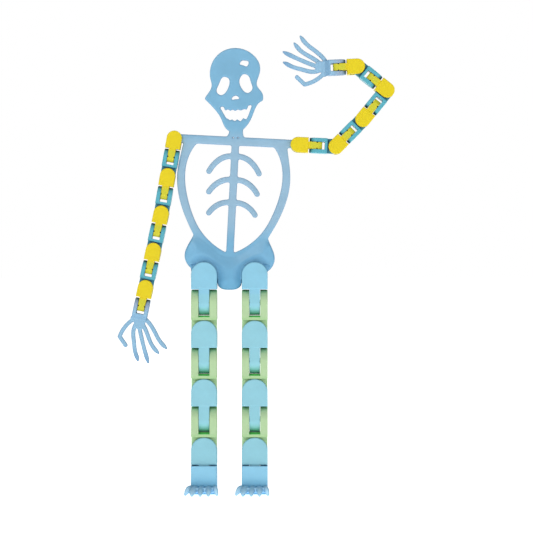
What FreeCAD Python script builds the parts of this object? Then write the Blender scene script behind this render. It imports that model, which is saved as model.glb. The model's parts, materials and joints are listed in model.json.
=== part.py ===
"""Click-link skeleton figure: one flat torso moulding, two arms and two legs of hinged links.

Millimetres. +Z is up, the front faces -Y, the figure stands on its soles at Z = 0.
Left and right are the figure's own: its right arm is on the -X side.
"""

import FreeCAD
import Part
import Sketcher

import math
import os

V = FreeCAD.Vector
OUT = "parts"

doc = FreeCAD.newDocument("click_link_skeleton")

# ---------------------------------------------------------------------------
# Driving dimensions, held in a spreadsheet and bound by name.
# ---------------------------------------------------------------------------
DIMS = {
    # arm links: square section, clevis at the top, tongue at the bottom
    "arm_width": 10.2,
    "arm_slot": 5.1,
    "arm_tongue": 4.7,
    "arm_tongue_width": 9.8,
    "arm_tongue_end": 3.4,
    "arm_floor": 5.2,
    "arm_bottom": 6.9,
    "arm_pitch": 12.7,
    "arm_pin_d": 2.6,
    "arm_bore_d": 2.7,
    "arm_round": 0.5,
    # leg links: the same joint, larger; blue and green links differ in length
    "leg_width": 17.3,
    "leg_slot": 7.4,
    "leg_tongue": 7.0,
    "leg_tongue_width": 17.0,
    "leg_tongue_end": 8.35,
    "leg_blue_floor": 8.8,
    "leg_blue_bottom": 9.6,
    "leg_blue_pitch": 18.5,
    "leg_green_floor": 9.6,
    "leg_green_bottom": 11.6,
    "leg_green_pitch": 20.5,
    "leg_pin_d": 4.0,
    "leg_bore_d": 4.1,
    "leg_round": 0.7,
    # low bar across the floor of the green links, just clear of the tongue
    "stop_bar_top": 8.7,
    "stop_bar_deep": 9.0,
    # both families
    "pin_gap": 0.8,
    "arm_detent_depth": 0.8,
    "arm_detent_width": 1.8,
    "leg_detent_depth": 0.45,
    "leg_detent_width": 1.3,
    # torso moulding
    "plate": 4.7,
    "hip_tab": 7.0,
    "hip_thick": 9.8,
    "hip_round": 2.2,
    "shoulder_left_x": 41.9,
    "shoulder_right_x": 40.9,
    "shoulder_z": 89.3,
    "shoulder_tab_r": 5.0,
    "hip_x": 16.9,
    "hip_clear_r": 9.15,
    "collar_z": 89.6,
    "collar_h": 5.6,
    "spine_w": 5.0,
    "rib_w": 3.7,
    "bead_hole_d": 1.3,
    # hand and foot
    "hand_bottom": 9.0,
    "hand_thick": 3.4,
    "finger_w": 2.7,
    "foot_seam": 8.4,
    "foot_front": 10.8,
    "foot_wall": 2.0,
    "ankle_above_sole": 11.2,
}

sheet = doc.addObject("Spreadsheet::Sheet", "Dims")
for row, (name, value) in enumerate(DIMS.items(), start=1):
    sheet.set(f"A{row}", name)
    sheet.set(f"B{row}", str(value))
    sheet.setAlias(f"B{row}", name)
doc.recompute()


def d(name):
    """One driving dimension as a number."""
    return DIMS[name]


# ---------------------------------------------------------------------------
# Pose of the figure: the angles each hinge is set to at rest, in degrees.
# ---------------------------------------------------------------------------
LEAN = 2.9  # the upper body leans toward +X over level hips
AXIS_SHIFT = -0.5  # centre line of the chest, measured from the hip middle
SKULL_AT = (3.65, 97.05)  # neck centre in the torso frame
RIGHT_ARM = (10.2, 9.7, 11.9, 12.1, 11.9)  # each yellow link, outward from straight down
LEFT_ARM = (-2.8, 45.2, 50.6, 141.2, 182.6)  # each yellow link, up from straight out
OUTWARD_SWING = 70.0  # how far a leg swings out before its link meets the hip lobe


def lean(u, w):
    """A point of the upright chest drawing, leaned into the torso frame."""
    a = math.radians(LEAN)
    u = u + AXIS_SHIFT
    return V(u * math.cos(a) + w * math.sin(a), w * math.cos(a) - u * math.sin(a), 0)


# ---------------------------------------------------------------------------
# Sketch helpers
# ---------------------------------------------------------------------------
def new_body(label):
    body = doc.addObject("PartDesign::Body", label)
    body.Label = label
    return body


def sketch_on(body, role, offset=0.0):
    """A sketch on one of the body's own origin planes, moved along its normal."""
    sk = body.newObject("Sketcher::SketchObject", "sketch")
    plane = [f for f in body.Origin.OriginFeatures if f.Role == role][0]
    sk.AttachmentSupport = [(plane, "")]
    sk.MapMode = "FlatFace"
    if offset:
        sk.AttachmentOffset = FreeCAD.Placement(V(0, 0, offset), FreeCAD.Rotation())
    return sk


def line(sk, a, b):
    return sk.addGeometry(Part.LineSegment(V(*a), V(*b)), False)


def arc(sk, centre, r, a0, a1):
    circle = Part.Circle(V(*centre), V(0, 0, 1), r)
    return sk.addGeometry(Part.ArcOfCircle(circle, a0, a1), False)


def bind(sk, kind, args, expression):
    """Adds a dimension to the sketch and ties it to the spreadsheet."""
    index = sk.addConstraint(Sketcher.Constraint(kind, *args))
    sk.setExpression(f"Constraints[{index}]", expression)


def rule(sk, kind, *args):
    sk.addConstraint(Sketcher.Constraint(kind, *args))


def circle_at(sk, x, z, diameter, expression):
    """A circle at (x, z); its diameter comes from the spreadsheet."""
    g = sk.addGeometry(Part.Circle(V(x, z, 0), V(0, 0, 1), diameter / 2), False)
    bind(sk, "Diameter", (g, diameter), expression)
    return g


def smooth(sk, points, closed=False):
    """A curve through the points."""
    curve = Part.BSplineCurve()
    pts = [V(p[0], p[1], 0) for p in points]
    curve.interpolate(pts, PeriodicFlag=closed)
    sk.addGeometry(curve, False)


def poly(sk, points):
    """Straight lines from each point to the next."""
    for a, b in zip(points, points[1:]):
        line(sk, (a[0], a[1], 0), (b[0], b[1], 0))


def both_ways(feature):
    """Pads and pockets that grow equally to both sides of their sketch."""
    if hasattr(feature, "SideType"):
        feature.SideType = "Symmetric"
    else:
        feature.Midplane = True


def pad(body, sk, expression):
    f = body.newObject("PartDesign::Pad", "pad")
    f.Profile = sk
    both_ways(f)
    f.setExpression("Length", expression)
    sk.Visibility = False
    return f


def pocket(body, sk, expression):
    f = body.newObject("PartDesign::Pocket", "pocket")
    f.Profile = sk
    both_ways(f)
    f.setExpression("Length", expression)
    sk.Visibility = False
    return f


def fillet(body, base, edges, expression):
    f = body.newObject("PartDesign::Fillet", "fillet")
    f.Base = (base, edges)
    f.setExpression("Radius", expression)
    return f


def edge_names(shape, wanted):
    return [f"Edge{i}" for i, e in enumerate(shape.Edges, start=1) if wanted(e)]


# ---------------------------------------------------------------------------
# The link joint: clevis with stub pins above, flat tongue with a bore below
# ---------------------------------------------------------------------------
def clevis_block(body, fam, floor, bottom):
    """Square block with a round top, slotted from above, with two stub pins."""
    w = d(f"{fam}_width")
    sk = sketch_on(body, "XZ_Plane")
    low = -d(bottom)
    top = arc(sk, (0, 0, 0), w / 2, 0, math.pi)
    side_r = line(sk, (w / 2, 0, 0), (w / 2, low, 0))
    base = line(sk, (w / 2, low, 0), (-w / 2, low, 0))
    side_l = line(sk, (-w / 2, low, 0), (-w / 2, 0, 0))
    rule(sk, "Coincident", top, 3, -1, 1)
    rule(sk, "Tangent", top, 1, side_r, 1)
    rule(sk, "Tangent", top, 2, side_l, 2)
    rule(sk, "Coincident", side_r, 2, base, 1)
    rule(sk, "Coincident", base, 2, side_l, 1)
    rule(sk, "Vertical", side_r)
    rule(sk, "Horizontal", base)
    bind(sk, "Radius", (top, w / 2), f"Dims.{fam}_width / 2")
    bind(sk, "DistanceY", (base, 1, -1, 1, -low), f"Dims.{bottom}")
    block = pad(body, sk, f"Dims.{fam}_width")
    doc.recompute()
    rim = edge_names(block.Shape, lambda e: abs(abs(e.CenterOfMass.y) - w / 2) < 0.01)
    rounded = fillet(body, block, rim, f"Dims.{fam}_round")
    slot_cut(body, fam, floor)
    stub_pins(body, fam)
    return rounded


def slot_cut(body, fam, floor):
    """The slot the next tongue turns in, open at the top."""
    s = d(f"{fam}_slot")
    w = d(f"{fam}_width")
    low = -d(floor)
    high = w
    sk = sketch_on(body, "YZ_Plane")
    left = line(sk, (-s / 2, high, 0), (-s / 2, low, 0))
    bed = line(sk, (-s / 2, low, 0), (s / 2, low, 0))
    right = line(sk, (s / 2, low, 0), (s / 2, high, 0))
    lid = line(sk, (s / 2, high, 0), (-s / 2, high, 0))
    rule(sk, "Coincident", left, 2, bed, 1)
    rule(sk, "Coincident", bed, 2, right, 1)
    rule(sk, "Coincident", right, 2, lid, 1)
    rule(sk, "Coincident", lid, 2, left, 1)
    rule(sk, "Vertical", left)
    rule(sk, "Vertical", right)
    rule(sk, "Horizontal", lid)
    rule(sk, "Symmetric", bed, 1, bed, 2, -2)
    bind(sk, "DistanceX", (bed, 1, bed, 2, s), f"Dims.{fam}_slot")
    bind(sk, "DistanceY", (bed, 1, -1, 1, -low), f"Dims.{floor}")
    bind(sk, "DistanceY", (-1, 1, right, 2, high), f"Dims.{fam}_width")
    return pocket(body, sk, f"Dims.{fam}_width * 3")


def stub_pins(body, fam):
    """Two stub pins on the inner faces of the clevis, with a small gap between their ends."""
    pin = d(f"{fam}_pin_d")
    sk = sketch_on(body, "XZ_Plane")
    g = circle_at(sk, 0, 0, pin, f"Dims.{fam}_pin_d")
    rule(sk, "Coincident", g, 3, -1, 1)
    pad(body, sk, f"Dims.{fam}_slot + 1")
    sk = sketch_on(body, "XZ_Plane")
    g = circle_at(sk, 0, 0, pin + 0.4, f"Dims.{fam}_pin_d + 0.4")
    rule(sk, "Coincident", g, 3, -1, 1)
    return pocket(body, sk, "Dims.pin_gap")


def tongue(body, fam, floor, pitch):
    """Flat tongue below the block, its end round about the next pivot and cut flat."""
    r = d(f"{fam}_tongue_width") / 2
    end = d(f"{fam}_tongue_end")
    z = -d(pitch)
    top = -d(floor) - 0.3
    a = math.asin(end / r)
    sk = sketch_on(body, "YZ_Plane")
    left = line(sk, (-r, top, 0), (-r, z, 0))
    arc_l = arc(sk, (0, z, 0), r, math.pi, math.pi + a)
    flat_x = r * math.cos(a)
    flat = line(sk, (-flat_x, z - end, 0), (flat_x, z - end, 0))
    arc_r = arc(sk, (0, z, 0), r, 2 * math.pi - a, 2 * math.pi)
    right = line(sk, (r, z, 0), (r, top, 0))
    lid = line(sk, (r, top, 0), (-r, top, 0))
    rule(sk, "Coincident", lid, 2, left, 1)
    rule(sk, "Coincident", lid, 1, right, 2)
    rule(sk, "Tangent", left, 2, arc_l, 1)
    rule(sk, "Tangent", right, 1, arc_r, 2)
    rule(sk, "Coincident", arc_l, 2, flat, 1)
    rule(sk, "Coincident", arc_r, 1, flat, 2)
    rule(sk, "Coincident", arc_l, 3, arc_r, 3)
    rule(sk, "PointOnObject", arc_l, 3, -2)
    rule(sk, "Vertical", left)
    rule(sk, "Vertical", right)
    rule(sk, "Horizontal", lid)
    rule(sk, "Horizontal", flat)
    bind(sk, "Radius", (arc_l, r), f"Dims.{fam}_tongue_width / 2")
    bind(sk, "DistanceY", (arc_l, 3, -1, 1, -z), f"Dims.{pitch}")
    bind(sk, "DistanceY", (flat, 1, -1, 1, end - z), f"Dims.{pitch} + Dims.{fam}_tongue_end")
    bind(sk, "DistanceY", (lid, 1, -1, 1, -top), f"Dims.{floor} + 0.3")
    pad(body, sk, f"Dims.{fam}_tongue")
    sk = sketch_on(body, "YZ_Plane")
    g = circle_at(sk, 0, z, d(f"{fam}_bore_d"), f"Dims.{fam}_bore_d")
    rule(sk, "PointOnObject", g, 3, -2)
    bind(sk, "DistanceY", (g, 3, -1, 1, -z), f"Dims.{pitch}")
    pocket(body, sk, f"Dims.{fam}_tongue * 2")
    return detents(body, fam, pitch)


def detents(body, fam, pitch):
    """A click groove down the middle of both tongue faces, level with the pivot."""
    t = d(f"{fam}_tongue") / 2
    z = -d(pitch)
    dep = d(f"{fam}_detent_depth")
    half = d(f"{fam}_detent_width") / 2
    sk = sketch_on(body, "XZ_Plane")
    for side in (-1, 1):
        inner = (side * (t - dep), z, 0)
        upper = (side * (t + 0.2), z + half, 0)
        lower = (side * (t + 0.2), z - half, 0)
        line(sk, inner, upper)
        line(sk, upper, lower)
        line(sk, lower, inner)
    return pocket(body, sk, f"Dims.{fam}_width * 2")


def make_link(label, fam, kind=None):
    """One click link. Its own frame has the clevis pivot at the origin and the chain along -Z."""
    key = f"{fam}_{kind}" if kind else fam
    body = new_body(label)
    clevis_block(body, fam, f"{key}_floor", f"{key}_bottom")
    if kind == "green":
        stop_bar(body, key)
    tongue(body, fam, f"{key}_floor", f"{key}_pitch")
    return body


def stop_bar(body, key):
    """A low bar across the middle of the slot floor, under the end of the next tongue."""
    half = d("stop_bar_deep") / 2
    low = -d(f"{key}_floor") - 0.3
    high = -d("stop_bar_top")
    sk = sketch_on(body, "XZ_Plane")
    poly(sk, ((-half, low), (half, low), (half, high), (-half, high), (-half, low)))
    pad(body, sk, "Dims.leg_slot + 0.4")


# ---------------------------------------------------------------------------
# Hand: clevis block running into a flat palm, four fingers and a bent thumb
# ---------------------------------------------------------------------------
PALM = (
    (5.0, -7.6), (5.5, -9.8), (2.9, -11.6), (2.4, -14.4), (0.1, -15.4),
    (-3.6, -14.7), (-4.7, -12.0), (-4.4, -10.0), (-4.9, -7.6),
)
THUMB = (
    ((4.2, -10.4), (8.2, -16.2), (10.3, -23.0)),
    ((10.3, -23.0), (5.2, -27.9)),
)
FINGERS = (
    ((1.7, -13.6), (2.0, -18.0), (0.1, -24.8), (-2.1, -31.1), (-3.8, -34.0), (-5.1, -36.4)),
    ((-1.3, -14.2), (-4.8, -22.1), (-8.3, -29.2), (-10.6, -33.5), (-12.1, -36.3)),
    ((-3.2, -12.0), (-8.6, -19.4), (-12.7, -24.9), (-15.2, -27.0), (-17.6, -28.7)),
    ((-3.9, -8.0), (-8.4, -11.2), (-12.9, -16.2), (-17.0, -20.8), (-19.6, -22.8), (-22.0, -24.4)),
)
FINGER_TIP = 0.4  # width of a fingertip, as a share of the finger's


def hand(label):
    body = new_body(label)
    clevis_block(body, "arm", "arm_floor", "hand_bottom")
    sk = sketch_on(body, "YZ_Plane")
    smooth(sk, PALM)
    poly(sk, (PALM[-1], PALM[0]))
    pad(body, sk, "Dims.hand_thick + 0.8")
    for points in THUMB:
        strip(body, points, d("finger_w"), "Dims.hand_thick", "YZ_Plane")
    for points in FINGERS:
        strip(body, points, d("finger_w"), "Dims.hand_thick", "YZ_Plane", FINGER_TIP)
    # both faces taper from the block down to the palm
    corner = d("arm_width") / 2 + 1
    near = d("hand_thick") / 2 + 0.4
    high = -d("arm_floor") - 0.6
    low = -d("hand_bottom")
    sk = sketch_on(body, "XZ_Plane")
    for side in (-1, 1):
        poly(sk, (
            (side * (corner - 1), high), (side * near, low), (side * near, low - 1),
            (side * corner, low - 1), (side * corner, high), (side * (corner - 1), high),
        ))
    pocket(body, sk, "Dims.arm_width * 2")
    return body


def strip(body, points, width, expression, plane, tip_share=1.0):
    """A bar along a line of points, with round ends, drawn in at the last point."""
    half = width / 2
    pts = [V(p[0], p[1], 0) for p in points]
    left = []
    right = []
    for i, p in enumerate(pts):
        if i == 0:
            t = pts[1] - p
        elif i == len(pts) - 1:
            t = p - pts[-2]
        else:
            t = (p - pts[i - 1]).normalize() + (pts[i + 1] - p).normalize()
        t.normalize()
        n = V(-t.y, t.x, 0)
        k = 1.0
        if 0 < i < len(pts) - 1:
            u = (p - pts[i - 1]).normalize()
            k = 1 / max(0.6, n.dot(V(-u.y, u.x, 0)))
        elif i:
            k = tip_share
        left.append(p + n * half * k)
        right.append(p - n * half * k)
    sk = sketch_on(body, plane)
    smooth_or_line(sk, left)
    end_dir = (pts[-1] - pts[-2]).normalize()
    tip = pts[-1] + end_dir * half * tip_share
    sk.addGeometry(Part.Arc(left[-1], tip, right[-1]), False)
    smooth_or_line(sk, right[::-1])
    start_dir = (pts[1] - pts[0]).normalize()
    tail = pts[0] - start_dir * half
    sk.addGeometry(Part.Arc(right[0], tail, left[0]), False)
    return pad(body, sk, expression)


def smooth_or_line(sk, pts):
    if len(pts) == 2:
        line(sk, tuple(pts[0]), tuple(pts[1]))
    else:
        smooth(sk, pts)


# ---------------------------------------------------------------------------
# Foot: a box round the last leg tongue, closed at the front, with five claws
# ---------------------------------------------------------------------------
TOES = (
    # side offset of root, bulb and tip; half width; how far forward the tip reaches
    (8.2, 10.6, 12.4, 1.7, 17.0),
    (5.0, 6.9, 7.7, 2.7, 19.6),
    (0.9, 1.8, 2.2, 2.1, 20.4),
    (-3.0, -3.2, -3.2, 2.2, 19.8),
    (-6.9, -7.9, -9.0, 1.7, 17.6),
)


def foot(label):
    """Own frame: ankle pivot at the origin, toes toward -X, pivot along Y."""
    body = new_body(label)
    front = -d("foot_front")
    back = d("leg_width") / 2
    seam = d("foot_seam")
    sole = -d("ankle_above_sole")
    r = back
    sk = sketch_on(body, "XZ_Plane")
    poly(sk, (
        (front, seam), (front, sole + 5.2), (front + 1.0, sole + 3.0), (front + 4.6, sole + 2.2),
    ))
    poly(sk, ((front + 4.6, sole + 2.2), (front + 7.4, sole), (back, sole), (back, 0)))
    arc(sk, (0, 0, 0), r, 0, math.pi / 2)
    poly(sk, ((0, r), (-1.0, seam), (front, seam)))
    pad(body, sk, "Dims.leg_width")
    # socket for the tongue, open at the top and the back
    sk = sketch_on(body, "XZ_Plane")
    wall = front + d("foot_wall")
    floor = -8.8
    poly(sk, ((wall, 12), (wall, floor), (14, floor), (14, 12), (wall, 12)))
    pocket(body, sk, "Dims.leg_slot")
    stub_pins(body, "leg")
    # instep
    sk = sketch_on(body, "XY_Plane", sole + 2.2)
    smooth(sk, (
        (front + 2, -8.4), (front - 2.6, -7.8), (front - 4.4, -1.0),
        (front - 3.6, 6.6), (front + 2, 8.5),
    ))
    poly(sk, ((front + 2, 8.5), (front + 2, -8.4)))
    slab = body.newObject("PartDesign::Pad", "pad")
    slab.Profile = sk
    slab.Length = 3.4
    for root, bulb, tip, half, reach in TOES:
        toe(body, front, sole, (root, bulb, tip), half, reach)
    return body


def toe(body, front, sole, sides, half, reach):
    """One claw: swells a little in front of the foot, then comes to a point on the ground."""
    stations = (
        (front + 0.6, sides[0], sole + 4.4, half * 0.95, 2.1),
        (front - 4.2, sides[1], sole + 3.9, half, 2.2),
        (-reach, sides[2], sole + 0.75, 0.75, 0.75),
    )
    sections = []
    for x, y, z, wide, tall in stations:
        sk = sketch_on(body, "YZ_Plane", x)
        long_way = max(wide, tall)
        short_way = min(wide, tall)
        e = Part.Ellipse(V(y, z, 0), long_way + 1e-4, short_way)
        if tall > wide:
            e.rotate(FreeCAD.Placement(V(y, z, 0), FreeCAD.Rotation(V(0, 0, 1), 90), V(0, 0, 0)))
        sk.addGeometry(e, False)
        sections.append(sk)
    loft = body.newObject("PartDesign::AdditiveLoft", "toe")
    loft.Profile = sections[0]
    loft.Sections = sections[1:]
    for sk in sections:
        sk.Visibility = False
    return loft


# ---------------------------------------------------------------------------
# Torso with skull: one moulding
# ---------------------------------------------------------------------------
FRAME_OUTER = ((34.8, 86.9), (36.2, 79.0), (37.9, 66.0), (36.4, 52.5), (31.8, 39.0), (24.9, 25.6))
LOBE = ((24.9, 25.6), (28.4, 18.4), (30.2, 12.1), (28.8, 6.8), (25.6, 3.4))
CROTCH = ((7.6, -7.4), (5.3, -9.3), (0.0, -10.1), (-5.3, -9.3), (-7.6, -7.4))
FRAME_INNER = (
    (26.0, 86.7), (30.5, 78.7), (32.6, 68.0), (31.5, 55.5), (27.6, 42.4),
    (21.6, 30.4), (12.7, 20.9), (2.7, 14.9),
)
RIBS = (
    ((0, 79.2), (-9.7, 77.1), (-14.0, 73.0), (-16.8, 68.6)),
    ((0, 63.5), (-8.9, 62.1), (-13.6, 58.4), (-16.2, 54.9)),
    ((0, 48.2), (-8.9, 46.9), (-12.6, 44.3), (-15.5, 40.8)),
)
SKULL_OUTLINE = (
    ((-5.8, -5.4), (-3.5, -1.0)),
    ((-3.5, -1.0), (-7.2, 2.6), (-9.3, 7.5), (-12.9, 13.0), (-16.6, 17.1), (-20.3, 20.7)),
    ((-20.3, 20.7), (-17.8, 24.7), (-15.8, 28.4), (-15.6, 30.4), (-16.5, 34.3), (-16.7, 39.6),
     (-15.5, 44.4), (-12.3, 49.4), (-7.1, 53.2), (0.1, 54.8), (7.1, 53.4), (12.8, 49.6),
     (16.1, 44.9), (16.9, 40.9), (16.2, 37.0), (14.7, 32.6), (14.5, 30.6), (15.9, 27.7),
     (18.0, 25.1), (18.9, 22.3), (18.5, 19.6)),
    ((18.5, 19.6), (15.3, 17.3), (13.5, 14.2), (11.7, 9.5), (8.9, 4.1), (5.4, 0.3)),
    ((5.4, 0.3), (5.3, -0.7), (6.4, -5.8)),
    ((6.4, -5.8), (-5.8, -5.4)),
)
EYE_LEFT = (
    (-7.0, 35.6), (-3.9, 33.9), (-4.3, 28.7), (-6.2, 25.1), (-9.4, 23.2),
    (-12.2, 25.3), (-10.7, 30.8), (-9.5, 33.8),
)
EYE_RIGHT = (
    (6.9, 37.4), (9.5, 35.6), (10.7, 31.7), (11.7, 27.7), (8.9, 24.7),
    (4.0, 28.6), (2.9, 32.6), (3.8, 35.6),
)
CRACK = (
    (2.7, 43.8), (4.4, 46.6), (8.8, 46.4), (9.3, 44.7), (8.0, 42.1), (5.5, 43.2), (2.7, 43.8),
)
NOSE_TOP = ((-2.4, 19.8), (-1.2, 22.4), (0.5, 23.0), (2.2, 22.3), (3.0, 20.4))
NOSE_LOW = ((3.0, 20.4), (0.5, 20.5), (-2.4, 19.8))
MOUTH = (
    (-10.3, 15.6), (-7.4, 15.6), (-7.0, 13.7), (-6.3, 12.9), (-4.8, 14.0), (-3.2, 12.8),
    (-1.5, 13.7), (0.1, 12.7), (2.0, 13.8), (4.0, 12.9), (6.0, 14.1), (8.0, 13.6),
    (8.9, 16.5), (11.5, 16.8), (9.1, 10.1), (7.6, 6.8), (5.6, 7.9), (3.6, 5.5),
    (1.6, 7.2), (-0.1, 5.6), (-1.9, 7.1), (-3.2, 6.2), (-4.6, 7.4), (-5.8, 7.7),
    (-8.2, 11.9), (-10.3, 15.6),
)


def torso(label):
    """Own frame: origin midway between the hip pivots, front toward -Y."""
    body = new_body(label)
    pelvis(body)
    heart_frame(body)
    collar_and_spine(body)
    skull(body)
    pivots(body)
    return body


def mirror_u(points):
    return tuple((-p[0], p[1]) for p in points)


def leaned(points):
    return [lean(*p) for p in points]


def heart_frame(body):
    """The two side bands, the collar line and the pelvis plate, in one closed outline."""
    x, r = d("hip_x"), d("hip_clear_r") - 0.6
    sk = sketch_on(body, "XZ_Plane")
    for side in (1, -1):
        outer = leaned(FRAME_OUTER if side > 0 else mirror_u(FRAME_OUTER))
        lobe = leaned(LOBE if side > 0 else mirror_u(LOBE))
        smooth(sk, outer)
        smooth(sk, lobe)
        hip = V(side * x, 0, 0)
        outside = hip + V(side * r * 0.97, -0.9, 0)
        under = hip + V(side * 2.5, -r * 0.95, 0)
        inside = V(side * 9.0, -3.6, 0)
        line(sk, tuple(lobe[-1]), tuple(outside))
        sk.addGeometry(Part.Arc(outside, under, inside), False)
        line(sk, tuple(inside), (side * 7.4, -7.0, 0))
        smooth(sk, ((side * 7.4, -7.0), (side * 5.1, -8.9), (0, -9.6)))
    top_r = lean(*FRAME_OUTER[0])
    top_l = lean(-FRAME_OUTER[0][0], FRAME_OUTER[0][1])
    line(sk, tuple(top_l), tuple(top_r))
    pad(body, sk, "Dims.plate")
    for side in (1, -1):
        sk = sketch_on(body, "XZ_Plane")
        inner = leaned(FRAME_INNER if side > 0 else mirror_u(FRAME_INNER))
        smooth(sk, inner)
        apex = lean(side * 0.5, FRAME_INNER[-1][1])
        crown = lean(side * 0.5, FRAME_INNER[0][1])
        poly(sk, (inner[-1], apex, crown, inner[0]))
        pocket(body, sk, "Dims.plate * 3")


def collar_and_spine(body):
    h = d("collar_h") / 2
    z = d("collar_z")
    right = -d("shoulder_right_x")
    left = d("shoulder_left_x")
    sk = sketch_on(body, "XZ_Plane")
    corners = leaned(((right, z - h), (left, z - h), (left, z + h), (right, z + h)))
    poly(sk, corners + corners[:1])
    pad(body, sk, "Dims.plate")
    half = d("spine_w") / 2
    sk = sketch_on(body, "XZ_Plane")
    corners = leaned(((-half, 12), (half, 12), (half, z), (-half, z)))
    poly(sk, corners + corners[:1])
    pad(body, sk, "Dims.plate")
    for points in RIBS:
        for side in (1, -1):
            strip(
                body, leaned([(side * p[0], p[1]) for p in points]),
                d("rib_w"), "Dims.plate", "XZ_Plane",
            )


def skull(body):
    dx, dz = SKULL_AT

    def move(points):
        return [(p[0] + dx, p[1] + dz) for p in points]

    sk = sketch_on(body, "XZ_Plane")
    for run in SKULL_OUTLINE:
        if len(run) == 2:
            poly(sk, move(run))
        else:
            smooth(sk, move(run))
    pad(body, sk, "Dims.plate")
    sk = sketch_on(body, "XZ_Plane")
    for ring in (EYE_LEFT, EYE_RIGHT):
        smooth(sk, move(ring), closed=True)
    poly(sk, move(CRACK))
    smooth(sk, move(NOSE_TOP))
    smooth(sk, move(NOSE_LOW))
    poly(sk, move(MOUTH))
    for side in (-1.05, 2.1):
        circle_at(sk, dx + side - 0.1, dz - 5.1, d("bead_hole_d"), "Dims.bead_hole_d")
    pocket(body, sk, "Dims.plate * 3")


def pelvis(body):
    """The swollen hips and crotch, rounded all round, thinned where the leg links turn."""
    sk = sketch_on(body, "XZ_Plane")
    saddle = ((12.6, 19.4), (4.0, 13.6), (-4.0, 13.6), (-12.6, 19.4))
    right = leaned(LOBE)
    left = leaned(mirror_u(LOBE))
    smooth(sk, right)
    smooth(sk, left)
    smooth(sk, [right[0]] + leaned(saddle) + [left[0]])
    poly(sk, (right[-1], (12.0, -4.0), CROTCH[0]))
    poly(sk, (left[-1], (-12.0, -4.0), CROTCH[-1]))
    smooth(sk, CROTCH)
    swell = pad(body, sk, "Dims.hip_thick")
    doc.recompute()
    t = d("hip_thick") / 2
    rim = edge_names(swell.Shape, lambda e: abs(abs(e.CenterOfMass.y) - t) < 0.01)
    fillet(body, swell, rim, "Dims.hip_round")
    sk = sketch_on(body, "XZ_Plane")
    for side in (1, -1):
        hip_recess(sk, side)
    pocket(body, sk, "Dims.hip_thick * 2")


def hip_recess(sk, side):
    """Outline swept by a leg link from straight down to its furthest outward swing."""
    x, r = d("hip_x"), d("hip_clear_r")
    far = 30.0
    low = -30.0
    a = math.radians(OUTWARD_SWING)
    edge = (side * (x + r * math.cos(a)), r * math.sin(a))
    out = (edge[0] + side * far * math.sin(a), edge[1] - far * math.cos(a))
    poly(sk, (edge, out, (out[0], low), (side * (x - r), low), (side * (x - r), 0)))
    top = V(side * x, r, 0)
    sk.addGeometry(Part.Arc(V(side * (x - r), 0, 0), top, V(edge[0], edge[1], 0)), False)


def shoulder(side):
    """The place of a shoulder pivot in the torso frame."""
    reach = d("shoulder_left_x") if side > 0 else -d("shoulder_right_x")
    return lean(reach, d("shoulder_z"))


def pivots(body):
    """Round shoulder and hip tabs with their bores."""
    for side in (1, -1):
        at = shoulder(side)
        sk = sketch_on(body, "XZ_Plane")
        circle_at(sk, at.x, at.y, d("shoulder_tab_r") * 2, "Dims.shoulder_tab_r * 2")
        pad(body, sk, "Dims.plate")
        hip = V(side * d("hip_x"), 0, 0)
        sk = sketch_on(body, "XZ_Plane")
        r = d("hip_clear_r") - 0.6
        circle_at(sk, hip.x, hip.y, r * 2, "Dims.hip_clear_r * 2 - 1.2")
        pad(body, sk, "Dims.hip_tab")
    sk = sketch_on(body, "XZ_Plane")
    for side in (1, -1):
        at = shoulder(side)
        circle_at(sk, at.x, at.y, d("arm_bore_d"), "Dims.arm_bore_d")
        circle_at(sk, side * d("hip_x"), 0, d("leg_bore_d"), "Dims.leg_bore_d")
    pocket(body, sk, "Dims.plate * 4")


# ---------------------------------------------------------------------------
# Assembly: every link is placed from its neighbour
# ---------------------------------------------------------------------------
def turn(axis, degrees):
    return FreeCAD.Placement(V(0, 0, 0), FreeCAD.Rotation(axis, degrees))


def shift(x, y, z):
    return FreeCAD.Placement(V(x, y, z), FreeCAD.Rotation())


Y = V(0, 1, 0)
Z = V(0, 0, 1)
placed = []


def add(body, placement):
    body.Placement = placement
    placed.append(body)
    return placement


def arm(side, directions, flip):
    """Shoulder to hand; directions gives the turn about Y of each yellow link."""
    at = shoulder(side)
    name = "left_arm" if side > 0 else "right_arm"
    here = shift(at.x, 0, at.y)
    last = 0.0
    step = shift(0, 0, -d("arm_pitch"))
    for i, direction in enumerate(directions, start=1):
        here = add(make_link(f"{name}_yellow_{i}", "arm"), here * turn(Y, direction - last))
        last = direction
        if i < len(directions):
            teal = here * step * turn(Z, 90)
            add(make_link(f"{name}_teal_{i}", "arm"), teal)
            here = teal * step * turn(Z, -90)
    add(hand(name.replace("arm", "hand")), here * step * turn(Z, 90 * flip))


def leg(side):
    name = "left_leg" if side > 0 else "right_leg"
    here = shift(side * d("hip_x"), 0, 0)
    for i in range(1, 5):
        add(make_link(f"{name}_blue_{i}", "leg", "blue"), here)
        step = here * shift(0, 0, -d("leg_blue_pitch")) * turn(Z, 90)
        if i < 4:
            add(make_link(f"{name}_green_{i}", "leg", "green"), step)
            here = step * shift(0, 0, -d("leg_green_pitch")) * turn(Z, -90)
    add(foot(name.replace("leg", "foot")), step)


add(torso("torso_with_skull"), shift(0, 0, 0))
arm(-1, RIGHT_ARM, 1)
arm(1, tuple(-(90 + a) for a in LEFT_ARM), -1)
leg(-1)
leg(1)
doc.recompute()


# ---------------------------------------------------------------------------
# Put the origin at the bottom centre of the whole figure, check and export
# ---------------------------------------------------------------------------
def whole_box():
    box = FreeCAD.BoundBox()
    for body in placed:
        box.add(body.Shape.optimalBoundingBox(False, False))
    return box


box = whole_box()
centre = V((box.XMin + box.XMax) / 2, (box.YMin + box.YMax) / 2, box.ZMin)
for body in placed:
    body.Placement = shift(-centre.x, -centre.y, -centre.z) * body.Placement
doc.recompute()

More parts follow.
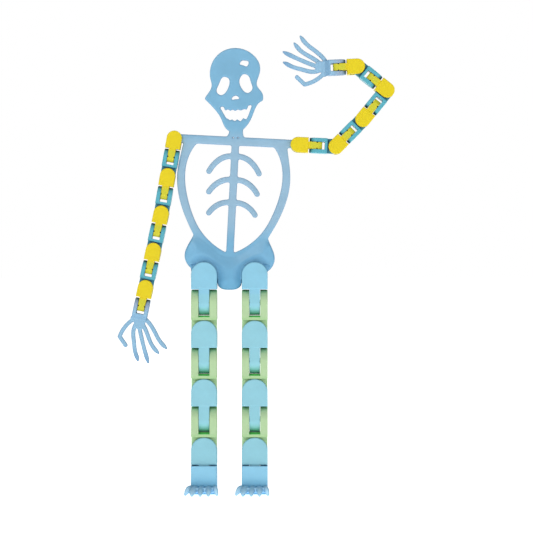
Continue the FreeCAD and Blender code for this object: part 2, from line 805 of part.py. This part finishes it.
os.makedirs(OUT, exist_ok=True)
for thing in doc.Objects:
    bad = [s for s in thing.State if s in ("Invalid", "Error")]
    if bad:
        raise RuntimeError(f"{thing.Label}: {bad}")
for body in placed:
    shape = body.Shape
    if shape.isNull() or not shape.isValid() or len(shape.Solids) != 1:
        raise RuntimeError(f"{body.Label}: not one valid solid ({len(shape.Solids)})")
    shape.exportStep(os.path.join(OUT, body.Label + ".step"))
box = whole_box()
print("nodes", len(placed))
print("origin moved by", [round(c, 3) for c in centre])
print("size", [round(c, 2) for c in (box.XLength, box.YLength, box.ZLength)])
for body in placed:
    m = body.Placement
    print("AT", body.Label, [round(c, 4) for c in m.Base], [round(c, 5) for c in m.Rotation.Q])
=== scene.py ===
"""Looks of the jointed skeleton figure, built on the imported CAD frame. Metres, rest pose."""

import json
import math

import bpy
import numpy as np
from mathutils import Matrix, Vector
from mathutils.kdtree import KDTree

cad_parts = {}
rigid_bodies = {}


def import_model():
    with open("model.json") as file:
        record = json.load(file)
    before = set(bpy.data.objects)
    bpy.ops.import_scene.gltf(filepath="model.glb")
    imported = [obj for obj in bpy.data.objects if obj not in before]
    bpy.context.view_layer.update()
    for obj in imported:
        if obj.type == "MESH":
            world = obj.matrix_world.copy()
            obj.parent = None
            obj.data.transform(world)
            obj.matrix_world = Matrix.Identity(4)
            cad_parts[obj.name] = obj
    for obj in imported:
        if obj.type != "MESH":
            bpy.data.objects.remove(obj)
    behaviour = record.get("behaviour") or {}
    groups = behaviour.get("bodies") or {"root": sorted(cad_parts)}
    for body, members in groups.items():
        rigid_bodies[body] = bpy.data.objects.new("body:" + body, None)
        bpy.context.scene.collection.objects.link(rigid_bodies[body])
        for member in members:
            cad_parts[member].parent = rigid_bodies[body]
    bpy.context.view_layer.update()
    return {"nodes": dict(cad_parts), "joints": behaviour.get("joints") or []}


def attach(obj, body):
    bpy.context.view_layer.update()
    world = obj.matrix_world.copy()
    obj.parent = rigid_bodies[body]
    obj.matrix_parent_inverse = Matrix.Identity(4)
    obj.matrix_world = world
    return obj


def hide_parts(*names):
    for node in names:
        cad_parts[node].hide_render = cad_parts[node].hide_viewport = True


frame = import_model()
NODES = frame["nodes"]
JOINTS = {j["child"]: j for j in frame["joints"]}
MM = 0.001

MID_Y = JOINTS["right_arm_yellow_1"]["pos_m"][1]
HIP_Z = JOINTS["right_leg_blue_1"]["pos_m"][2]
HIP_X = [JOINTS[side + "_leg_blue_1"]["pos_m"][0] for side in ("right", "left")]


def srgb(r, g, b):
    """8-bit display colour to linear RGBA."""
    def lin(v):
        v /= 255
        return v / 12.92 if v <= 0.04045 else ((v + 0.055) / 1.055) ** 2.4
    return (lin(r), lin(g), lin(b), 1.0)


# ---------------------------------------------------------------- node helpers

SHADER_SAMPLES = 6  # rays of each bevel and occlusion node
# noise scales of the plastic: slow changes of tone, small blotches, surface grain
MOTTLE, CLOUD, GRAIN = 55.0, 420.0, 1500.0
MOTTLE_DEPTH, CLOUD_DEPTH = 0.22, 0.10  # how much the first two change the brightness
RIB_SCALE = 190.0  # scale of the wave that the fine ridges follow


class Graph:
    """Short spellings for building a node tree."""

    def __init__(self, tree):
        self.tree = tree
        tree.nodes.clear()

    def node(self, kind, **props):
        made = self.tree.nodes.new(kind)
        for key, value in props.items():
            setattr(made, key, value)
        return made

    def link(self, source, target):
        self.tree.links.new(source, target)

    def feed(self, target, value):
        """A socket is linked, a plain value is set."""
        if isinstance(value, bpy.types.NodeSocket):
            self.link(value, target)
        else:
            target.default_value = value

    def math(self, operation, a, b=0.0):
        made = self.node("ShaderNodeMath", operation=operation)
        self.feed(made.inputs[0], a)
        self.feed(made.inputs[1], b)
        return made.outputs[0]

    def mix(self, factor, a, b):
        made = self.node("ShaderNodeMix", data_type="RGBA")
        self.feed(made.inputs["Factor"], factor)
        self.feed(made.inputs[6], a)
        self.feed(made.inputs[7], b)
        return made.outputs[2]

    def ramp(self, value, low, high, out_low, out_high):
        made = self.node("ShaderNodeMapRange", interpolation_type="SMOOTHSTEP")
        self.feed(made.inputs["Value"], value)
        made.inputs["From Min"].default_value = low
        made.inputs["From Max"].default_value = high
        made.inputs["To Min"].default_value = out_low
        made.inputs["To Max"].default_value = out_high
        return made.outputs["Result"]

    def noise(self, vector, scale, detail=3.0, rough=0.5):
        made = self.node("ShaderNodeTexNoise")
        self.link(vector, made.inputs["Vector"])
        made.inputs["Scale"].default_value = scale
        made.inputs["Detail"].default_value = detail
        made.inputs["Roughness"].default_value = rough
        return made.outputs["Fac"]

    def rounding(self):
        """1 where a rounded casting turns away from its front and back, 0 on its flats."""
        steep, level = 0.45, 0.97
        coords = self.node("ShaderNodeTexCoord")
        split = self.node("ShaderNodeSeparateXYZ")
        self.link(coords.outputs["Normal"], split.inputs[0])
        return self.ramp(self.math("ABSOLUTE", split.outputs["Y"]), steep, level, 1.0, 0.0)

    def edges(self, radius, flat, sharp):
        """1 along convex and concave edges, 0 on flat faces."""
        bevel = self.node("ShaderNodeBevel", samples=SHADER_SAMPLES)
        bevel.inputs["Radius"].default_value = radius
        geometry = self.node("ShaderNodeNewGeometry")
        dot = self.node("ShaderNodeVectorMath", operation="DOT_PRODUCT")
        self.link(bevel.outputs["Normal"], dot.inputs[0])
        self.link(geometry.outputs["Normal"], dot.inputs[1])
        return self.ramp(dot.outputs["Value"], sharp, flat, 1.0, 0.0)

    def occlusion(self, distance):
        made = self.node("ShaderNodeAmbientOcclusion", samples=SHADER_SAMPLES)
        made.inputs["Distance"].default_value = distance
        return made.outputs["AO"]


def local_axes(origin, towards):
    """Euler turning +X to the direction from origin to towards, in the XZ plane, with +Y kept."""
    d = Vector(towards) - Vector(origin)
    d.y = 0.0
    d.normalize()
    z = d.cross(Vector((0, 1, 0)))
    return Matrix((d, Vector((0, 1, 0)), z)).transposed().to_euler()


def plastic(name, colour, painted_shade_colour, edge_shade_colour, origin, towards, tints, roughness, reach, painted_shade_amount=0.5,
            edge_shade_amount=0.35, ribs=0.0, rounded=False, slot_shade_band=None):
    """Moulded plastic.

    colour is the lit face. deep is painted shade: the colour that gaps and creases within
    reach (mm) of other surfaces turn to, by the amount grime, as an occlusion node finds them.
    edge is painted shade along the edges, mixed in by edge_shade_amount. tints is a list of (axis,
    from, to, colour, strength) in the piece's own axes, in mm from origin; some of them are
    painted shade or painted highlight. slot_shade_band (from, to, half width, colour) paints shade
    on the bar inside a fork. ribs is the strength of the fine ridges, and rounded is for
    softened castings, whose painted shade along the edges also covers the sides turning away
    from the front and back.
    """
    material = bpy.data.materials.new(name)
    material.use_nodes = True
    g = Graph(material.node_tree)
    coords = g.node("ShaderNodeTexCoord")
    place = g.node("ShaderNodeMapping", vector_type="TEXTURE")
    place.inputs["Location"].default_value = origin
    place.inputs["Rotation"].default_value = local_axes(origin, towards)
    g.link(coords.outputs["Object"], place.inputs["Vector"])
    at = place.outputs["Vector"]
    split = g.node("ShaderNodeSeparateXYZ")
    g.link(at, split.inputs[0])

    mottle = g.noise(at, MOTTLE, detail=2.0, rough=0.45)
    cloud = g.noise(at, CLOUD, detail=3.0, rough=0.6)
    tone = g.math("ADD", g.math("MULTIPLY", g.math("SUBTRACT", mottle, 0.5), MOTTLE_DEPTH),
                  g.math("MULTIPLY", g.math("SUBTRACT", cloud, 0.5), CLOUD_DEPTH))
    base = colour
    # position tints; some of them, as noted at each piece, are painted shade or painted highlight
    for axis, start, end, tint, strength in tints:
        here = g.ramp(split.outputs[axis], start * MM, end * MM, 0.0, strength)
        base = g.mix(here, base, tint)
    # painted shade on the bar inside a fork
    if slot_shade_band is not None:
        start, end, half, tint = slot_shade_band
        across = g.math("ABSOLUTE", split.outputs[2])
        inside = g.math("LESS_THAN", across, half * MM)
        past = g.math("GREATER_THAN", split.outputs[0], start * MM)
        short = g.math("LESS_THAN", split.outputs[0], end * MM)
        base = g.mix(g.math("MULTIPLY", inside, g.math("MULTIPLY", past, short)), base, tint)
    varied = g.node("ShaderNodeHueSaturation")
    g.feed(varied.inputs["Color"], base)
    g.link(g.math("ADD", tone, 1.0), varied.inputs["Value"])
    # rim: the edges, and on rounded castings also the sides turning away from the front and back;
    # edge is mixed in there as painted shade
    if rounded:
        rim = g.math("MAXIMUM", g.rounding(), g.edges(1.6 * MM, flat=0.995, sharp=0.8))
    else:
        rim = g.edges(0.9 * MM, flat=0.985, sharp=0.86)
    edge_shaded = g.mix(g.math("MULTIPLY", rim, edge_shade_amount), varied.outputs["Color"], edge_shade_colour)
    # painted shade: gaps and creases found by the occlusion node turn towards deep by the amount
    # grime
    painted_shade_mask = g.ramp(g.occlusion(reach * MM), 0.25, 0.95, painted_shade_amount, 0.0)
    tinted = g.mix(painted_shade_mask, edge_shaded, painted_shade_colour)

    shader = g.node("ShaderNodeBsdfPrincipled")
    g.link(tinted, shader.inputs["Base Color"])
    polish = g.math("ADD", g.math("MULTIPLY", mottle, 0.16), roughness - 0.08)
    g.link(g.math("ADD", polish, g.math("MULTIPLY", rim, 0.12)), shader.inputs["Roughness"])
    shader.inputs["IOR"].default_value = 1.47
    shader.inputs["Specular IOR Level"].default_value = 0.35
    shader.inputs["Subsurface Weight"].default_value = 0.12
    shader.inputs["Subsurface Radius"].default_value = (0.7, 0.9, 1.0)
    shader.inputs["Subsurface Scale"].default_value = 1.6 * MM

    fine = g.noise(at, GRAIN, detail=2.0, rough=0.5)
    height = g.math("MULTIPLY", fine, 0.14)
    if ribs:
        wave = g.node("ShaderNodeTexWave", wave_type="BANDS", bands_direction="X")
        g.link(at, wave.inputs["Vector"])
        wave.inputs["Scale"].default_value = RIB_SCALE
        wave.inputs["Distortion"].default_value = 0.3
        height = g.math("ADD", height, g.math("MULTIPLY", wave.outputs["Fac"], ribs))
    bump = g.node("ShaderNodeBump")
    bump.inputs["Strength"].default_value = 0.25
    bump.inputs["Distance"].default_value = 0.15 * MM
    g.link(height, bump.inputs["Height"])
    g.link(bump.outputs["Normal"], shader.inputs["Normal"])
    out = g.node("ShaderNodeOutputMaterial")
    g.link(shader.outputs[0], out.inputs["Surface"])
    return material


def dress(obj, material):
    obj.data.materials.clear()
    obj.data.materials.append(material)


# ---------------------------------------------------------------- softened castings

TORSO_VOXEL, LIMB_VOXEL = 0.42 * MM, 0.28 * MM  # limb here means a hand or a foot
TORSO_PASSES, LIMB_PASSES = 7, 5  # rounds of smoothing
TINY = 1e-6  # closer points are merged, and a point this near a bore's axis stays where it is


def remesh(obj, voxel):
    made = obj.modifiers.new("remesh", "REMESH")
    made.mode = "VOXEL"
    made.voxel_size = voxel
    made.use_smooth_shade = True


def softened(node, voxel, passes, shape=None):
    """A rounded copy of a CAD node: remeshed finely, shaped if asked, then smoothed."""
    made = bpy.data.objects.new(node + "_moulded", NODES[node].data.copy())
    bpy.context.scene.collection.objects.link(made)
    weld = made.modifiers.new("weld", "WELD")
    weld.merge_threshold = TINY
    remesh(made, voxel)
    bake(made)
    if shape is not None:
        shape(made.data)
        remesh(made, voxel)
    even = made.modifiers.new("even", "SMOOTH")
    even.factor = 0.5
    even.iterations = passes
    bake(made)
    return made


def bake(obj):
    """Applies the modifiers."""
    graph = bpy.context.evaluated_depsgraph_get()
    mesh = bpy.data.meshes.new_from_object(obj.evaluated_get(graph))
    old = obj.data
    obj.modifiers.clear()
    obj.data = mesh
    bpy.data.meshes.remove(old)


def points(mesh):
    co = np.zeros(len(mesh.vertices) * 3)
    mesh.vertices.foreach_get("co", co)
    return co.reshape(-1, 3)


def put_points(mesh, co):
    mesh.vertices.foreach_set("co", co.ravel())
    mesh.update()


def stand_for(obj, node):
    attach(obj, node)
    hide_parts(node)


LEG_BORE, ARM_BORE = 2.05 * MM, 1.35 * MM  # bore radii of the two link sizes
BORE_EASE = 0.25 * MM  # how much wider a softened bore is made
PIN_EASE = 0.3 * MM  # how far inside its bore a softened pin is kept
PIN_BAND = (0.45 * MM, 0.2 * MM)  # skin this far in and out from the bore belongs to the pin


def ease_hinge(mesh, joint, bore, is_pin):
    """Eases a softened hinge away from its mate: pins are slimmed and bores are opened."""
    co = points(mesh)
    pivot = np.array(joint["pos_m"])
    axis = np.array(Vector(joint["axis"]).normalized())
    rel = co - pivot
    along = rel @ axis
    radial = rel - along[:, None] * axis
    r = np.linalg.norm(radial, axis=1)
    if is_pin:
        near = (r > bore - PIN_BAND[0]) & (r < bore + PIN_BAND[1])
        want = bore - PIN_EASE
    else:
        near = (r > TINY) & (r < bore + BORE_EASE)
        want = bore + BORE_EASE
    moved = radial[near] * (want / r[near])[:, None]
    co[near] = pivot + along[near, None] * axis + moved
    put_points(mesh, co)


def smoothstep(x, low, high):
    t = np.clip((x - low) / (high - low), 0, 1)
    return t * t * (3 - 2 * t)


PLATE = 2.35 * MM  # half thickness of the chest bands
DIP = 3.15 * MM  # half thickness of the pelvis beside a leg recess
TAB = 3.5 * MM  # half thickness of the hip tabs inside the recesses
SWELL = 4.9 * MM  # half thickness of the pelvis at its fullest
CLEAR = 9.15 * MM  # radius that a leg link turns in
SWING = math.radians(70)  # how far out the recess leaves room for a leg to swing
PELVIS_TOP = 40 * MM  # height above the hips that the pelvis shaping ends at
EDGE_BAND = 1.2 * MM  # wall points this near a band or recess belong to it
FACING = 0.9  # a normal this far along Y belongs to a front or back face
BAND_RISE = 11 * MM  # the pelvis rises to SWELL over this distance from a band,
RECESS_RISE = (-0.5 * MM, 6.5 * MM)  # between these distances from a leg recess,
RIM_RISE = 7 * MM  # and over this distance from its free outline
RIM = 0.74  # fullness of the free outline, as a share of SWELL
BESIDE = 3.4 * MM  # this near a band, the pelvis is kept at least as thick as the band


def swept(co, side_x):
    """Which points lie where a leg link turns, seen from the front."""
    out = np.sign(side_x - sum(HIP_X) / 2)
    u = out * (co[:, 0] - side_x)
    v = co[:, 2] - HIP_Z
    round_pivot = np.hypot(u, v) < CLEAR
    below = (v < 0) & (u > -CLEAR)
    under_line = u * math.cos(SWING) + v * math.sin(SWING) < CLEAR
    outside = (u > CLEAR * math.cos(SWING)) & (v < 3 * CLEAR)
    return round_pivot | below | (under_line & outside)


def nearest(sources, targets):
    """For each target, the distance in the XZ plane to the nearest source, and which it is."""
    tree = KDTree(len(sources))
    for index, point in enumerate(sources):
        tree.insert((point[0], 0.0, point[2]), index)
    tree.balance()
    found = [tree.find((point[0], 0.0, point[2])) for point in targets]
    return np.array([f[2] for f in found]), np.array([f[1] for f in found])


def plump(mesh):
    """Turns the stepped pelvis into one that swells smoothly from its rim."""
    co = points(mesh)
    normal = np.zeros(len(co) * 3)
    mesh.vertices.foreach_get("normal", normal)
    flat = np.abs(normal.reshape(-1, 3)[:, 1]) > FACING
    depth = np.abs(co[:, 1] - MID_Y)
    region = co[:, 2] < HIP_Z + PELVIS_TOP
    recess = region & (swept(co, HIP_X[0]) | swept(co, HIP_X[1]))

    # front and back faces at the pelvis's full height, and at that of the bands
    high = region & flat & (depth > 0.94 * SWELL) & ~recess
    band = region & flat & ~high & ~recess & (depth > 0.8 * PLATE)

    # only the pelvis is scaled, not the bands that run into it
    chosen = np.nonzero(region & ~recess)[0]
    _, owner = nearest(np.concatenate([co[high], co[band]]), co[chosen])
    chosen = chosen[(owner < high.sum()) | (depth[chosen] > 1.01 * PLATE)]

    # distances to the bands, to the recesses and to the free outline
    wall = co[region & ~flat & ~recess]
    from_band, _ = nearest(co[band], wall)
    from_recess, _ = nearest(co[recess], wall)
    outline = wall[(from_band > EDGE_BAND) & (from_recess > EDGE_BAND)]
    hollow = np.concatenate([co[recess], wall[from_recess < EDGE_BAND]])
    to_band, _ = nearest(co[band], co[chosen])
    to_recess, _ = nearest(hollow, co[chosen])
    to_outline, _ = nearest(outline, co[chosen])

    # the lowest of the three rises is the half thickness wanted
    by_band = PLATE + (SWELL - PLATE) * smoothstep(to_band, 0, BAND_RISE)
    by_recess = DIP + (SWELL - DIP) * smoothstep(to_recess, *RECESS_RISE)
    by_outline = SWELL * (RIM + (1 - RIM) * smoothstep(to_outline, 0, RIM_RISE))
    target = np.minimum(np.minimum(by_band, by_recess), by_outline)
    new = depth[chosen] * target / SWELL
    beside = (to_band < BESIDE) & (depth[chosen] > 0.98 * PLATE)
    new = np.where(beside, np.maximum(new, PLATE), new)
    co[chosen, 1] = MID_Y + np.sign(co[chosen, 1] - MID_Y) * new
    put_points(mesh, co)


def keep_recesses(mesh):
    """Holds the skin down to the tabs wherever a leg link turns."""
    co = points(mesh)
    depth = co[:, 1] - MID_Y
    for x in HIP_X:
        proud = swept(co, x) & (np.abs(depth) > TAB)
        co[proud, 1] = MID_Y + np.sign(depth[proud]) * TAB
    put_points(mesh, co)


def make_torso():
    torso = softened("torso_with_skull", TORSO_VOXEL, TORSO_PASSES, plump)
    keep_recesses(torso.data)
    for child, joint in JOINTS.items():
        if joint["parent"] == "torso_with_skull":
            ease_hinge(torso.data, joint, LEG_BORE if "leg" in child else ARM_BORE, False)
    blue = plastic(
        # second colour: painted shade in gaps and creases; edge: painted shade along the edges
        "torso_plastic", srgb(147, 182, 206), srgb(60, 118, 164),
        origin=(0, 0, HIP_Z), towards=(0, 0, 2 * HIP_Z),
        # tints: bluer from 38 mm down to 18 mm above the hips, then darker blue from 12 mm down to
        # below the hips, which is painted shade; bluer again over the skull
        tints=[(0, 38, 18, srgb(120, 178, 212), 1.0), (0, 12, -9, srgb(104, 168, 204), 0.9),
               (0, 86, 100, srgb(122, 177, 209), 0.95)],
        roughness=0.32, edge_shade_colour=srgb(70, 128, 176), edge_shade_amount=0.5, reach=2.0, painted_shade_amount=0.25,
        rounded=True,
    )
    dress(torso, blue)
    stand_for(torso, "torso_with_skull")


make_torso()

# ---------------------------------------------------------------- links

def next_pivot(node):
    """The pivot of the piece that hangs on this one."""
    for child, joint in JOINTS.items():
        if joint["parent"] == node:
            return joint["pos_m"]
    return None


# In each look, deep with grime is the painted shade in gaps, and edge with edge_shade_amount the
# painted shade along the edges.
LOOKS = {
    "arm_yellow": dict(
        colour=srgb(222, 201, 8), painted_shade_colour=srgb(122, 100, 6), ribs=0.35, roughness=0.42, reach=2.0,
        # the greener, darker tongue near the far end is painted shade where it sits in the fork
        tints=[(0, 7.2, 9.0, srgb(203, 200, 48), 0.95)], edge_shade_colour=srgb(200, 172, 8), edge_shade_amount=0.45),
    "arm_teal": dict(
        colour=srgb(86, 170, 186), painted_shade_colour=srgb(14, 62, 100), roughness=0.38, reach=2.0, painted_shade_amount=0.6,
        # the dark prong ends past the pivot, where they curve away, and the darker band by the next
        # yellow link's arch are painted shade
        tints=[(0, -3.0, -4.9, srgb(28, 72, 108), 0.9), (0, 5.8, 7.4, srgb(48, 122, 150), 0.6)],
        edge_shade_colour=srgb(52, 140, 165)),
    "leg_blue": dict(
        colour=srgb(143, 200, 215), painted_shade_colour=srgb(88, 158, 190), roughness=0.44, reach=1.6, painted_shade_amount=0.35,
        tints=[(0, 11.5, 14.0, srgb(143, 202, 214), 0.6), (0, 20.0, 25.6, srgb(126, 196, 188), 1.0)],
        edge_shade_colour=srgb(120, 185, 212), edge_shade_amount=0.4),
    "leg_green": dict(
        colour=srgb(178, 208, 162), painted_shade_colour=srgb(84, 170, 84), roughness=0.44, reach=1.6, painted_shade_amount=0.4,
        # darker on the tongue behind the blue link above and towards the fork: painted shade; a thin
        # lighter line at 11.6 mm
        tints=[(0, -5.0, -8.4, srgb(140, 190, 130), 0.8), (0, 8.4, 11.4, srgb(168, 206, 150), 0.9),
               (0, 11.5, 11.7, srgb(190, 222, 172), 1.0)],
        # the darker, more saturated green on the bar inside the fork is painted shade
        slot_shade_band=(8.2, 9.75, 3.72, srgb(84, 214, 98)), edge_shade_colour=srgb(160, 202, 150)),
    "hand_blue": dict(
        colour=srgb(142, 184, 212), painted_shade_colour=srgb(58, 86, 128), roughness=0.38, reach=1.8,
        # the dark band past the pivot, where the hand sits in the arm link, is painted shade; also
        # greyer near the pivot and darker towards the fingertips
        tints=[(0, 4.5, -1.0, srgb(150, 166, 188), 0.8), (0, -3.2, -5.0, srgb(62, 78, 108), 0.85),
               (0, 26.0, 36.0, srgb(118, 160, 196), 0.7)],
        edge_shade_colour=srgb(82, 130, 172), edge_shade_amount=0.6, rounded=True),
    "foot_blue": dict(
        colour=srgb(142, 202, 230), painted_shade_colour=srgb(84, 150, 190), roughness=0.36, reach=1.6, painted_shade_amount=0.4,
        # darker blue from the ankle down; the lighter toe ends, which face forward, are a painted
        # highlight
        tints=[(0, -3.0, 6.0, srgb(112, 180, 214), 1.0), (1, -11.0, -14.0, srgb(182, 226, 252), 1.0)],
        edge_shade_colour=srgb(88, 150, 190), edge_shade_amount=0.5, rounded=True),
}
FIRST_LEG_LINK = srgb(138, 197, 221)  # the link below each hip is a little bluer


def look_of(name):
    """The material slot of a node, from its name."""
    if "foot" in name or "hand" in name:
        return name.split("_")[1] + "_blue"
    return "_".join(name.split("_")[1:3])


def next_place(name):
    """A point further along the chain than this node's own pivot."""
    pivot = Vector(JOINTS[name]["pos_m"])
    if "foot" in name:
        return pivot - Vector((0, 0, 10 * MM))
    if "hand" in name:
        return pivot + pivot - Vector(JOINTS[JOINTS[name]["parent"]]["pos_m"])
    return next_pivot(name)


for name, obj in NODES.items():
    if name == "torso_with_skull":
        continue
    slot = look_of(name)
    look = dict(LOOKS[slot])
    if name.endswith("leg_blue_1"):
        look["colour"] = FIRST_LEG_LINK
    pivot = JOINTS[name]["pos_m"]
    skin = plastic(name + "_plastic", origin=pivot, towards=next_place(name), **look)
    if "foot" in name or "hand" in name:
        made = softened(name, LIMB_VOXEL, LIMB_PASSES)
        ease_hinge(made.data, JOINTS[name], LEG_BORE if "foot" in name else ARM_BORE, True)
        dress(made, skin)
        stand_for(made, name)
    else:
        dress(obj, skin)


# ---------------------------------------------------------------- stage, light, camera

def stage_floor():
    half = 25.0
    mesh = bpy.data.meshes.new("floor")
    mesh.from_pydata([(-half, -half, 0), (half, -half, 0), (half, half, 0), (-half, half, 0)],
                     [], [(0, 1, 2, 3)])
    floor = bpy.data.objects.new("floor", mesh)
    bpy.context.scene.collection.objects.link(floor)
    material = bpy.data.materials.new("pale_floor")
    material.use_nodes = True
    g = Graph(material.node_tree)
    shader = g.node("ShaderNodeBsdfPrincipled")
    coords = g.node("ShaderNodeTexCoord")
    paper = g.noise(coords.outputs["Object"], 40.0)
    paper = g.mix(paper, (0.93, 0.93, 0.93, 1), (0.96, 0.96, 0.96, 1))
    g.link(paper, shader.inputs["Base Color"])
    shader.inputs["Roughness"].default_value = 1.0
    shader.inputs["Specular IOR Level"].default_value = 0.0
    shader.inputs["Emission Color"].default_value = (1, 1, 1, 1)
    shader.inputs["Emission Strength"].default_value = 0.9
    out = g.node("ShaderNodeOutputMaterial")
    g.link(shader.outputs[0], out.inputs["Surface"])
    dress(floor, material)


SIDE_SKY, FRONT_SKY = 0.11, 0.50  # world light from across or above, and along Y


def lighting():
    world = bpy.data.worlds.new("studio")
    bpy.context.scene.world = world
    world.use_nodes = True
    g = Graph(world.node_tree)
    path = g.node("ShaderNodeLightPath")
    seen = g.node("ShaderNodeBackground")
    seen.inputs["Color"].default_value = (1, 1, 1, 1)
    light = g.node("ShaderNodeBackground")
    light.inputs["Color"].default_value = (1, 1, 1, 1)
    sky = g.node("ShaderNodeTexCoord")
    way = g.node("ShaderNodeSeparateXYZ")
    g.link(sky.outputs["Generated"], way.inputs[0])
    facing = g.math("ABSOLUTE", way.outputs["Y"])
    g.link(g.ramp(facing, 0.0, 1.0, SIDE_SKY, FRONT_SKY), light.inputs["Strength"])
    both = g.node("ShaderNodeMixShader")
    g.link(path.outputs["Is Camera Ray"], both.inputs[0])
    g.link(light.outputs[0], both.inputs[1])
    g.link(seen.outputs[0], both.inputs[2])
    out = g.node("ShaderNodeOutputWorld")
    g.link(both.outputs[0], out.inputs["Surface"])
    lamps = [  # name, place, diameter, power
        ("key", (-0.8, -1.8, 1.2), 1.0, 10.9),
        ("fill", (1.3, -1.8, 0.4), 1.4, 3.9),
        ("back", (0.4, 1.9, 1.4), 1.5, 12.0),
    ]
    aim = Vector((0, MID_Y, HIP_Z))
    for name, place, size, power in lamps:
        data = bpy.data.lights.new(name, "AREA")
        data.shape = "DISK"
        data.size = size
        data.energy = power
        lamp = bpy.data.objects.new(name, data)
        bpy.context.scene.collection.objects.link(lamp)
        lamp.location = place
        lamp.rotation_euler = (aim - Vector(place)).to_track_quat("-Z", "Y").to_euler()


def camera():
    data = bpy.data.cameras.new("camera")
    cam = bpy.data.objects.new("camera", data)
    bpy.context.scene.collection.objects.link(cam)
    away, seen_width = 1.4, 0.357  # distance to the figure, and what the picture spans there
    across, up = 24.75 * MM, 5.6 * MM  # picture's middle, from the middle of the hips
    data.sensor_width = 36.0
    data.lens = data.sensor_width * away / seen_width
    data.clip_start, data.clip_end = 0.05, 60.0
    cam.location = (sum(HIP_X) / 2 + across, MID_Y - away, HIP_Z + up)
    cam.rotation_euler = (math.pi / 2, 0, 0)
    bpy.context.scene.camera = cam


stage_floor()
lighting()
camera()
bpy.context.scene.view_settings.view_transform = "Standard"
bpy.context.scene.view_settings.look = "None"
